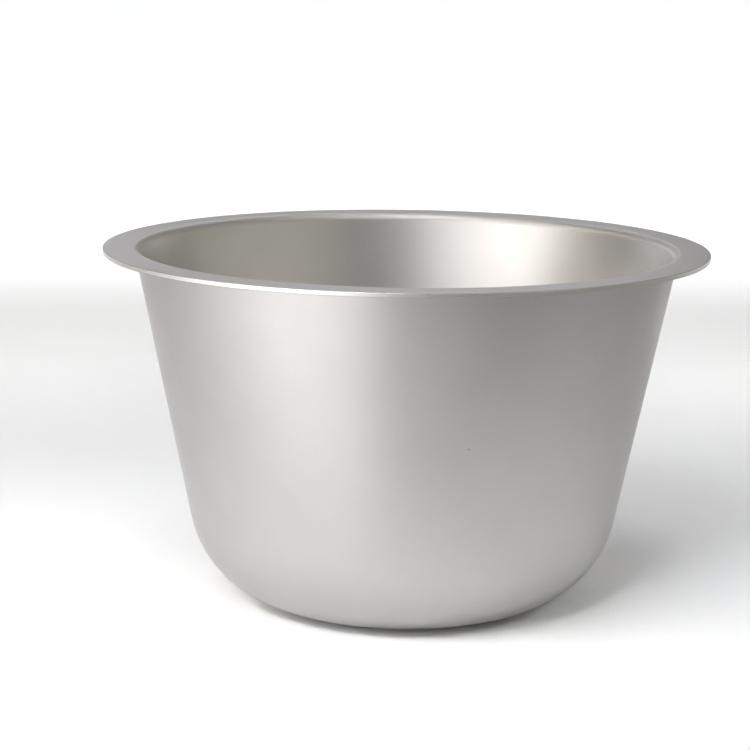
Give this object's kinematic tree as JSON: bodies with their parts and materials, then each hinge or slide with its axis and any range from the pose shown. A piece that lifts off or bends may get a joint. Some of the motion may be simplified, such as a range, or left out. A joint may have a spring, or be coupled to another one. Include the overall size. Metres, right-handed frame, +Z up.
{
  "type": "chocolate melter bowl",
  "caption": "Round tapered bowl of drawn sheet with a rounded bottom and a flat flange, which hangs in a chocolate melter's opening and holds the melting chocolate.",
  "frame": {"origin": "centre of the underside of the flat bottom, where the bowl stands", "axes": "+Z up along the bowl's axis and out of its mouth; X and Y are free, as the bowl is turned about Z"},
  "size_m": [0.2, 0.2, 0.119],
  "materials": {
    "satin_aluminium": "satin"
  },
  "bodies": {
    "root": {"bowl": "satin_aluminium"}
  },
  "joints": []
}
